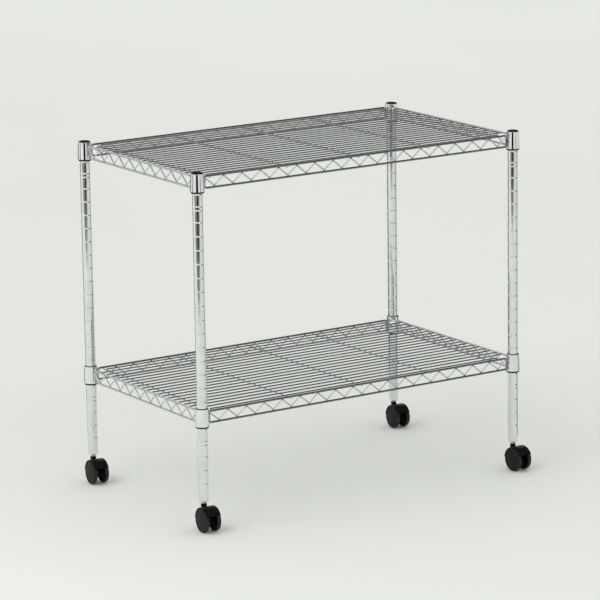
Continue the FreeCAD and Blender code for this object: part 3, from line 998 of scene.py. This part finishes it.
def paper_floor():
    """Large pale floor of paper: a soft pool of shade painted into its colour round the object, and a faint
    cloud.
    """
    surface = Surface("pale_paper", (0.80, 0.81, 0.77), 0.0, 0.9)
    reach = surface.nodes.new("ShaderNodeVectorMath")
    reach.operation = "DISTANCE"
    reach.inputs[1].default_value = MIDDLE * MM + Vector((0.10, 0.25, 0))
    surface.links.new(surface.place, reach.inputs[0])
    # This ramp paints shade into the paper's colour: a pool of painted shade round the object.
    pool = surface.nodes.new("ShaderNodeValToRGB")
    elements = pool.color_ramp.elements
    while len(elements) < len(PAINTED_SHADE_POOL_TONES):
        elements.new(0.5)
    for element, (metres, tone) in zip(elements, PAINTED_SHADE_POOL_TONES):
        element.position = metres / PAINTED_SHADE_POOL_TONES[-1][0]
        element.color = (tone, tone * 1.02, tone * 0.965, 1)
    share = surface.spread(reach.outputs["Value"], 0.0, PAINTED_SHADE_POOL_TONES[-1][0], 0.0, 1.0)
    surface.links.new(share, pool.inputs["Fac"])
    cloud = surface.spread(surface.noise(0.8, 2.0), 0.3, 0.7, 0.0, 0.25)
    surface.colour(surface.blend(cloud, pool.outputs["Color"], (0.70, 0.72, 0.68)))
    surface.shader.inputs["Specular IOR Level"].default_value = 0.1
    size = 60.0
    return staged("paper_floor", [(-size, -size, 0), (size, -size, 0), (size, size, 0), (-size, size, 0)],
                  surface.material)


def towards(azimuth):
    """Level unit vector from the object towards an azimuth in degrees, 0 being the front."""
    a = math.radians(azimuth)
    return Vector((math.sin(a), -math.cos(a), 0))


class Graph:
    """Arithmetic on shader values, for the light of the studio."""

    def __init__(self, tree):
        self.nodes = tree.nodes
        self.links = tree.links
        self.nodes.clear()

    def math(self, operation, a, b=0.0):
        node = self.nodes.new("ShaderNodeMath")
        node.operation = operation
        for socket, value in zip(node.inputs, (a, b)):
            if isinstance(value, (int, float)):
                socket.default_value = value
            else:
                self.links.new(value, socket)
        return node.outputs[0]

    def ramp(self, value, low, high, stops):
        """Levels at places between low and high, with straight runs between them."""
        span = high - low
        node = self.nodes.new("ShaderNodeValToRGB")
        elements = node.color_ramp.elements
        while len(elements) < len(stops):
            elements.new(0.5)
        for element, (place, level) in zip(elements, stops):
            element.position = (place - low) / span
            element.color = (level, level, level, 1)
        share = self.math("DIVIDE", self.math("SUBTRACT", value, low), span)
        self.links.new(share, node.inputs["Fac"])
        return node.outputs["Color"]

    def split(self, output_name):
        place = self.nodes.new("ShaderNodeTexCoord")
        parts = self.nodes.new("ShaderNodeSeparateXYZ")
        self.links.new(place.outputs[output_name], parts.inputs[0])
        return parts.outputs

    def azimuth(self, x, y):
        """Degrees round the object from the camera's side, positive to its right."""
        plain = self.math("ARCTAN2", x, self.math("MULTIPLY", y, -1.0))
        offset = self.math("SUBTRACT", plain, math.radians(CAMERA_AZIMUTH))
        turns = self.math("FRACT", self.math("ADD", self.math("DIVIDE", offset, 2 * math.pi), 0.5))
        return self.math("MULTIPLY", self.math("SUBTRACT", turns, 0.5), 360.0)


def glowing(name):
    """A plain emissive material: the material, its graph and its emission node."""
    material = bpy.data.materials.new(name)
    material.use_nodes = True
    graph = Graph(material.node_tree)
    glow = graph.nodes.new("ShaderNodeEmission")
    out = graph.nodes.new("ShaderNodeOutputMaterial")
    graph.links.new(glow.outputs["Emission"], out.inputs["Surface"])
    return material, graph, glow


def dark_studio_floor():
    """Past the paper's edge in front the studio floor is grey, with a black aisle through it."""
    material, graph, glow = glowing("dark_studio_floor")
    x, y, z = graph.split("Object")
    ahead = towards(CAMERA_AZIMUTH + FLOOR_CARD_TURN)
    distance = graph.math("ADD", graph.math("MULTIPLY", x, ahead.x), graph.math("MULTIPLY", y, ahead.y))
    around = graph.azimuth(graph.math("ADD", x, 0.35), y)
    floor = graph.ramp(distance, 0.0, 6.0, [
        (0.0, 0.78), (FLOOR_CARD_NEAR, 0.78), (2.35, 0.24), (3.3, 0.2), (3.7, 0.95), (6.0, 0.95)])
    aisle = graph.ramp(around, -180, 180, [
        (-180, 1), (-21, 1), (-16, 0.01), (13, 0.01), (19, 1), (66, 1), (68, 0.1), (75, 0.1), (180, 1)])
    before_aisle = graph.ramp(distance, 0.0, 6.0, [(0.0, 1.0), (2.35, 1.0), (2.75, 0.0), (6.0, 0.0)])
    level = graph.math("MINIMUM", floor, graph.math("MAXIMUM", aisle, before_aisle))
    graph.links.new(level, glow.inputs["Strength"])
    side = Vector((ahead.y, -ahead.x, 0))
    near = ahead * FLOOR_CARD_NEAR + CARD_HEIGHT
    far = ahead * FLOOR_CARD_FAR + CARD_HEIGHT
    corners = [near - side * 6, near + side * 6, far + side * 60, far - side * 60]
    hide_but_glossy(staged("studio_floor_card", corners, material))


def edge_strip(name, first, last, strength):
    """A darker strip of floor between two azimuths, which draws a thin line along the bright posts."""
    material, graph, glow = glowing(name)
    glow.inputs["Strength"].default_value = strength
    arc = range(first, last + 1, 4)
    points = [towards(CAMERA_AZIMUTH + offset) * STRIP_NEAR + CARD_HEIGHT for offset in arc]
    points += [towards(CAMERA_AZIMUTH + offset) * STRIP_FAR + CARD_HEIGHT for offset in reversed(arc)]
    hide_but_glossy(staged(name + "_card", points, material))


def hide_but_glossy(card):
    card.visible_camera = False
    card.visible_diffuse = False
    card.visible_transmission = False
    card.visible_shadow = False


def studio_world():
    """Even pale light, and for reflections a studio with dark walls and white softboxes."""
    world = bpy.data.worlds.new("soft_studio")
    world.use_nodes = True
    bpy.context.scene.world = world
    graph = Graph(world.node_tree)
    x, y, z = graph.split("Generated")
    around = graph.azimuth(x, y)
    low_walls = graph.math("MULTIPLY", graph.ramp(around, -180, 180, [
        (-180, 0.95), (-137, 0.95), (-134, 0.1), (-128, 0.1), (-125, 0.95), (-46, 0.95),
        (-25, 0.02), (21, 0.02), (26, 1.0), (50, 1.0), (56, 0.03), (130, 0.04),
        (136, 0.12), (150, 0.12), (156, 0.95), (180, 0.95)]),
        graph.ramp(z, -1, 1, [(-1, 1), (0.38, 1), (0.5, 0.06), (1, 0.06)]))
    left_box = graph.math("MULTIPLY",
                          graph.ramp(around, -180, 180, [
                              (-180, 1), (-137, 1), (-134, 0), (-128, 0), (-125, 1), (-52, 1),
                              (-44, 0), (160, 0), (168, 1), (180, 1)]),
                          graph.ramp(z, -1, 1, [(-1, 1), (0.78, 1), (0.86, 0), (1, 0)]))
    front_box = graph.math("MULTIPLY",
                           graph.ramp(around, -180, 180, [
                               (-180, 0), (-34, 0), (-28, 1), (46, 1), (53, 0), (180, 0)]),
                           graph.ramp(z, -1, 1, [(-1, 0), (0.1, 0), (0.2, 1), (0.82, 1), (0.9, 0), (1, 0)]))
    boxes = graph.math("MAXIMUM", left_box, front_box)
    over = graph.math("ARCTAN2", z, graph.math("MULTIPLY", y, -1.0))
    strip = graph.ramp(over, -math.pi, math.pi, [
        (-math.pi, 0), (1.07, 0), (1.13, 1), (1.35, 1), (1.41, 0), (math.pi, 0)])
    studio = graph.math("MAXIMUM", low_walls, graph.math("MAXIMUM", boxes, strip))
    path = graph.nodes.new("ShaderNodeLightPath")
    seen = graph.nodes.new("ShaderNodeMix")
    seen.data_type = "RGBA"
    seen.inputs[6].default_value = DIFFUSE_LIGHT
    graph.links.new(path.outputs["Is Glossy Ray"], seen.inputs[0])
    graph.links.new(studio, seen.inputs[7])
    view = graph.nodes.new("ShaderNodeMix")
    view.data_type = "RGBA"
    view.inputs[7].default_value = SEEN_BACKGROUND
    graph.links.new(path.outputs["Is Camera Ray"], view.inputs[0])
    graph.links.new(seen.outputs[2], view.inputs[6])
    background = graph.nodes.new("ShaderNodeBackground")
    background.inputs["Strength"].default_value = 1.0
    out = graph.nodes.new("ShaderNodeOutputWorld")
    graph.links.new(view.outputs[2], background.inputs["Color"])
    graph.links.new(background.outputs[0], out.inputs["Surface"])


def key_light():
    """One large soft lamp, high on the left, for a little direction on the plastic."""
    data = bpy.data.lights.new("key_softbox", "AREA")
    data.shape = "RECTANGLE"
    data.size = 3.0
    data.size_y = 2.0
    data.energy = 60.0
    lamp = bpy.data.objects.new("key_softbox", data)
    position = towards(CAMERA_AZIMUTH - 50) * 3.5 + Vector((0, 0, 3.6))
    facing = (position - CAMERA_TARGET).to_track_quat("Z", "Y").to_matrix().to_4x4()
    lamp.matrix_world = Matrix.Translation(position) @ facing
    lamp.visible_glossy = False
    bpy.context.scene.collection.objects.link(lamp)


def camera():
    a = math.radians(CAMERA_AZIMUTH)
    e = math.radians(CAMERA_ELEVATION)
    roll = math.radians(CAMERA_ROLL)
    back = Vector((math.sin(a) * math.cos(e), -math.cos(a) * math.cos(e), math.sin(e)))
    right = Vector((0, 0, 1)).cross(back).normalized()
    up = back.cross(right)
    across = right * math.cos(roll) + up * math.sin(roll)
    upright = up * math.cos(roll) - right * math.sin(roll)
    data = bpy.data.cameras.new("studio_camera")
    data.lens = CAMERA_LENS
    data.sensor_width = SENSOR
    made = bpy.data.objects.new("studio_camera", data)
    turn = Matrix((across, upright, back)).transposed().to_4x4()
    made.matrix_world = Matrix.Translation(CAMERA_TARGET + back * CAMERA_DISTANCE) @ turn
    bpy.context.scene.collection.objects.link(made)
    bpy.context.scene.camera = made


# ---- build ------------------------------------------------------------------------------

build_posts()
for shelf_level in LEVELS:
    build_corner_fittings(shelf_level)
    build_shelf_wires(shelf_level)
build_casters()
finish_cad_nodes()
paper_floor()
dark_studio_floor()
edge_strip("left_edge_strip", -170, -118, 0.12)
edge_strip("right_edge_strip", 100, 120, 0.22)
studio_world()
key_light()
camera()
bpy.context.scene.view_settings.view_transform = "Standard"
